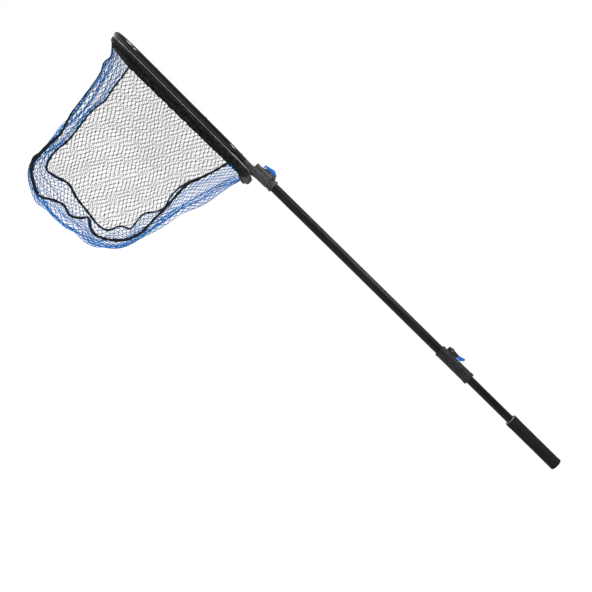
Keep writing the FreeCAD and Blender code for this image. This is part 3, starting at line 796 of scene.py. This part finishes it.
def make_world():
    """White behind the object, softly bright all round it, and dark on the camera's side."""
    world = bpy.data.worlds.new("studio")
    world.use_nodes = True
    tree = world.node_tree
    backdrop = tree.nodes["Background"]
    backdrop.inputs["Color"].default_value = (1, 1, 1, 1)
    place = tree.nodes.new("ShaderNodeTexCoord")
    axes = tree.nodes.new("ShaderNodeSeparateXYZ")
    surround = tree.nodes.new("ShaderNodeMapRange")
    surround.inputs["From Min"].default_value = -0.95
    surround.inputs["From Max"].default_value = -0.1
    surround.inputs["To Min"].default_value = 0.05
    surround.inputs["To Max"].default_value = 0.42
    rays = tree.nodes.new("ShaderNodeLightPath")
    strength = tree.nodes.new("ShaderNodeMapRange")
    strength.inputs["To Max"].default_value = 1.0
    tree.links.new(place.outputs["Generated"], axes.inputs["Vector"])
    tree.links.new(axes.outputs["Y"], surround.inputs["Value"])
    tree.links.new(rays.outputs["Is Camera Ray"], strength.inputs["Value"])
    tree.links.new(surround.outputs["Result"], strength.inputs["To Min"])
    tree.links.new(strength.outputs["Result"], backdrop.inputs["Strength"])
    bpy.context.scene.world = world
    bpy.context.scene.view_settings.view_transform = "Standard"


def make_studio():
    make_camera()
    make_floor()
    make_world()
    make_sun("sun_key", -20, 48, 2.2, 12)
    make_softbox("softbox_front", (-2.69, -0.73, 1.60), (-1.57, -0.17, 0), (0.7, 0.7), 48)
    make_softbox("softbox_rear", (-0.63, -0.30, 0.83), (-1.15, -0.17, 0), (0.3, 0.3), 10)


make_studio()

# ---------------------------------------------------------------- soft pieces

yarn_black = make_yarn_shader("net_yarn_black", (0.004, 0.004, 0.005), (0.012, 0.012, 0.013))
yarn_blue = make_yarn_shader("net_yarn_blue", (0.000, 0.070, 0.26), (0.000, 0.200, 0.60))
sleeve_fabric = make_sleeve_shader()
binding_tape = make_binding_shader()
# the piping's light grey is a painted highlight line along the sleeve's upper shoulder
piping_painted_highlight = make_plastic_shader("rim_piping_painted_highlight", (0.16, 0.16, 0.16), (0.34, 0.34, 0.34), 0.4)

near_line = smooth_curve(NEAR_SEAM, SEAM_POINTS)
far_line = smooth_curve(FAR_SEAM, SEAM_POINTS)
crest_line = smooth_curve([(x, 0.0, z) for x, z in BAG_OUTLINE], SEAM_POINTS)

make_sleeve(sleeve_fabric)
make_piping(piping_painted_highlight)
make_side_panel("net_panel_near", "net_side_near", near_line, -1, 6, yarn_black)
make_side_panel("net_panel_far", "net_side_far", far_line, 1, -5, yarn_black)
make_gusset(near_line, crest_line, far_line, yarn_blue)
make_binding("seam_binding_near", near_line, NEAR_BINDING, binding_tape)
make_binding("seam_binding_far", far_line, FAR_BINDING, binding_tape)

# ---------------------------------------------------------------- finishes of the rigid pieces

tube_black = make_tube_shader("tube_black", (0.004, 0.004, 0.0045), (0.010, 0.010, 0.011), 0.34, 0.0)
hoop_black = make_tube_shader("hoop_black", (0.0025, 0.0025, 0.003), (0.005, 0.005, 0.006), 0.24, 0.4)
plastic_black = make_plastic_shader("plastic_black", (0.008, 0.008, 0.009), (0.02, 0.02, 0.021), 0.48)
yoke_grey = make_plastic_shader("yoke_plastic", (0.030, 0.030, 0.030), (0.048, 0.048, 0.048), 0.52)
plastic_blue = make_plastic_shader("plastic_blue", (0.0, 0.080, 0.40), (0.0, 0.115, 0.52), 0.42, specular=0.4)
plastic_white = make_plastic_shader("bush_plastic", (0.45, 0.45, 0.43), (0.6, 0.6, 0.58), 0.4)
grip_rubber = make_rubber_shader("grip_rubber", (0.006, 0.006, 0.0065), (0.014, 0.014, 0.015))
cap_rubber = make_rubber_shader("cap_rubber", (0.005, 0.005, 0.0055), (0.011, 0.011, 0.012), 1500)
collar_satin = make_plastic_shader("collar_satin", (0.03, 0.04, 0.06), (0.06, 0.075, 0.10), 0.34, 0.6)
rod_metal = make_tube_shader("rim_rod_metal", (0.3, 0.3, 0.31), (0.45, 0.45, 0.46), 0.35, 0.0)
steel = make_steel_shader()

FINISHES = {
    "inner_tube": tube_black, "main_tube": tube_black, "hoop_tube": hoop_black, "rim_rod": rod_metal,
    "grip_sleeve": grip_rubber, "butt_cap": cap_rubber, "shoe_pad": cap_rubber, "grip_collar": collar_satin,
    "inner_tube_glide": plastic_black, "front_end_cap": plastic_black, "lock_housing": plastic_black,
    "lock_lever": plastic_black, "clamp_shoe": plastic_black, "yoke": yoke_grey,
    "rear_bush": plastic_white, "yoke_front_bush": plastic_white, "yoke_rear_bush": plastic_white,
    "lever_tip": plastic_blue, "yoke_button": plastic_blue,
}


def finish_rigid_pieces():
    """Every carried-over node gets its finish; pins, screws and the spring are steel."""
    for name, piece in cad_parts.items():
        piece.data.materials.clear()
        piece.data.materials.append(FINISHES.get(name, steel))


finish_rigid_pieces()
